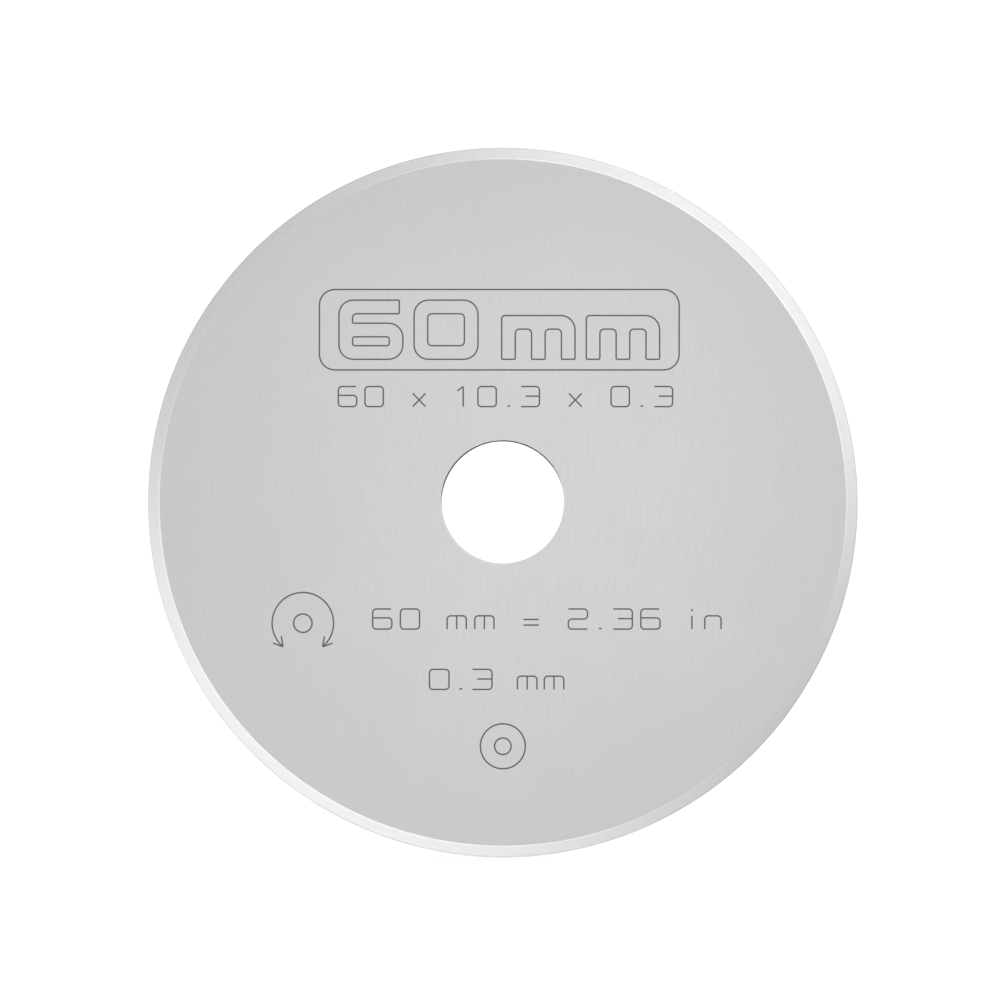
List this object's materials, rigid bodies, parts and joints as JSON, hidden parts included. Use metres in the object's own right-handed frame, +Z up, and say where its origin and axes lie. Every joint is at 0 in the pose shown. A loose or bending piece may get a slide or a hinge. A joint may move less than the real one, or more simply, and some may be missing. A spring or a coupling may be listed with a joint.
{
  "type": "rotary cutter blade",
  "caption": "Thin round steel blade for a rotary cutter, with a ground and honed double-bevel edge and a central bore.",
  "frame": {"origin": "centre of the bore at mid-thickness", "axes": "+Y along the bore's axis, out of the plain face; the marked face looks along -Y; +Z up the markings"},
  "size_m": [0.06, 0.0004, 0.06],
  "materials": {
    "blade_steel": "satin rolled faces with a fine straight grain, a bright ground rim and thin dark engraved markings on one face"
  },
  "bodies": {
    "root": {"blade": "blade_steel"}
  },
  "joints": []
}
